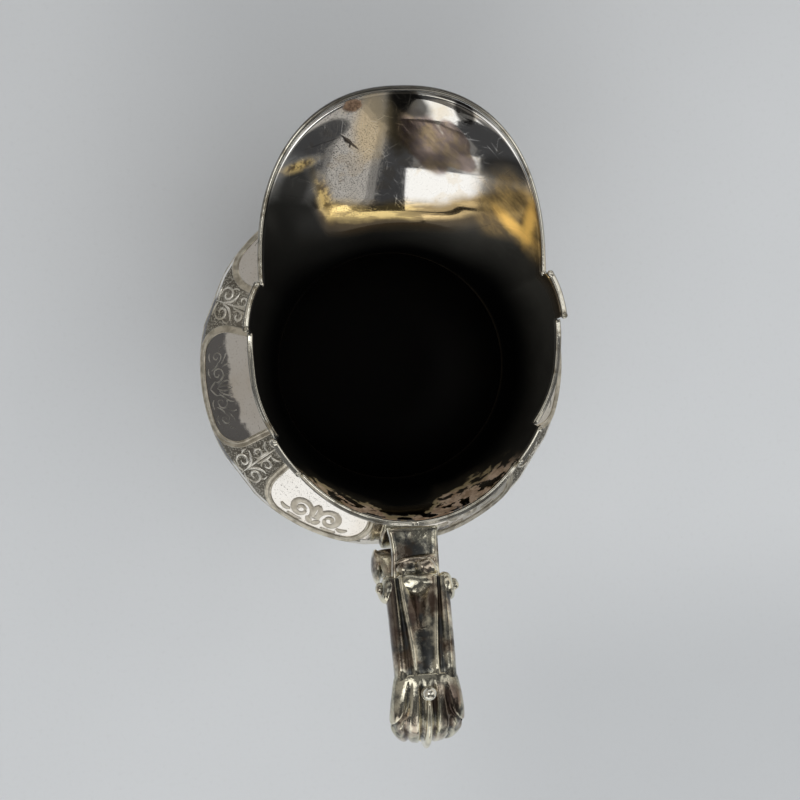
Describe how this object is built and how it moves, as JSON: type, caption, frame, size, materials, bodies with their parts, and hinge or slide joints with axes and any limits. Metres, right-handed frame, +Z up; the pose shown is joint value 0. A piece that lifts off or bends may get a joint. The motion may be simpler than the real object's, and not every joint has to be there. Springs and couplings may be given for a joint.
{
  "type": "milk jug",
  "caption": "Silver-plated open milk jug with a rounded panelled belly, stepped rim, broad pouring lip, spreading foot and a cast scroll handle, for pouring at table.",
  "frame": {"origin": "on the table under the centre of the jug's whole outline box, lip and handle included", "axes": "+Z up from the foot, +Y towards the pouring lip, -Y towards the handle, +X to the right of someone holding the handle and facing the lip"},
  "size_m": [0.0916, 0.1418, 0.1139],
  "materials": {
    "silver_plate": "worn silver plate on sheet: bright with fine pits and warm tarnish, darkened inside",
    "silver_wire": "bright rubbed silver wire",
    "cast_silver": "cast and plated, dark tarnish in the hollows and brassy wear on the high parts"
  },
  "bodies": {
    "root": {"body_bowl": "silver_plate", "neck_and_lip": "silver_plate", "lip_wire": "silver_wire", "front_left_tab_wire": "silver_wire", "front_right_tab_wire": "silver_wire", "left_side_wire": "silver_wire", "right_side_wire": "silver_wire", "rear_left_tab_wire": "silver_wire", "rear_right_tab_wire": "silver_wire", "rear_left_wire": "silver_wire", "rear_right_wire": "silver_wire", "foot_collar": "silver_plate", "foot_spool": "silver_plate", "foot_ring": "silver_plate", "upper_handle_plate": "cast_silver", "handle_strap": "cast_silver", "strap_boss": "cast_silver", "left_volute": "cast_silver", "right_volute": "cast_silver", "handle_bar": "cast_silver", "thumb_bead": "cast_silver", "thumb_leaf": "cast_silver", "handle_drop": "cast_silver", "lower_handle_plate": "cast_silver"}
  },
  "joints": []
}
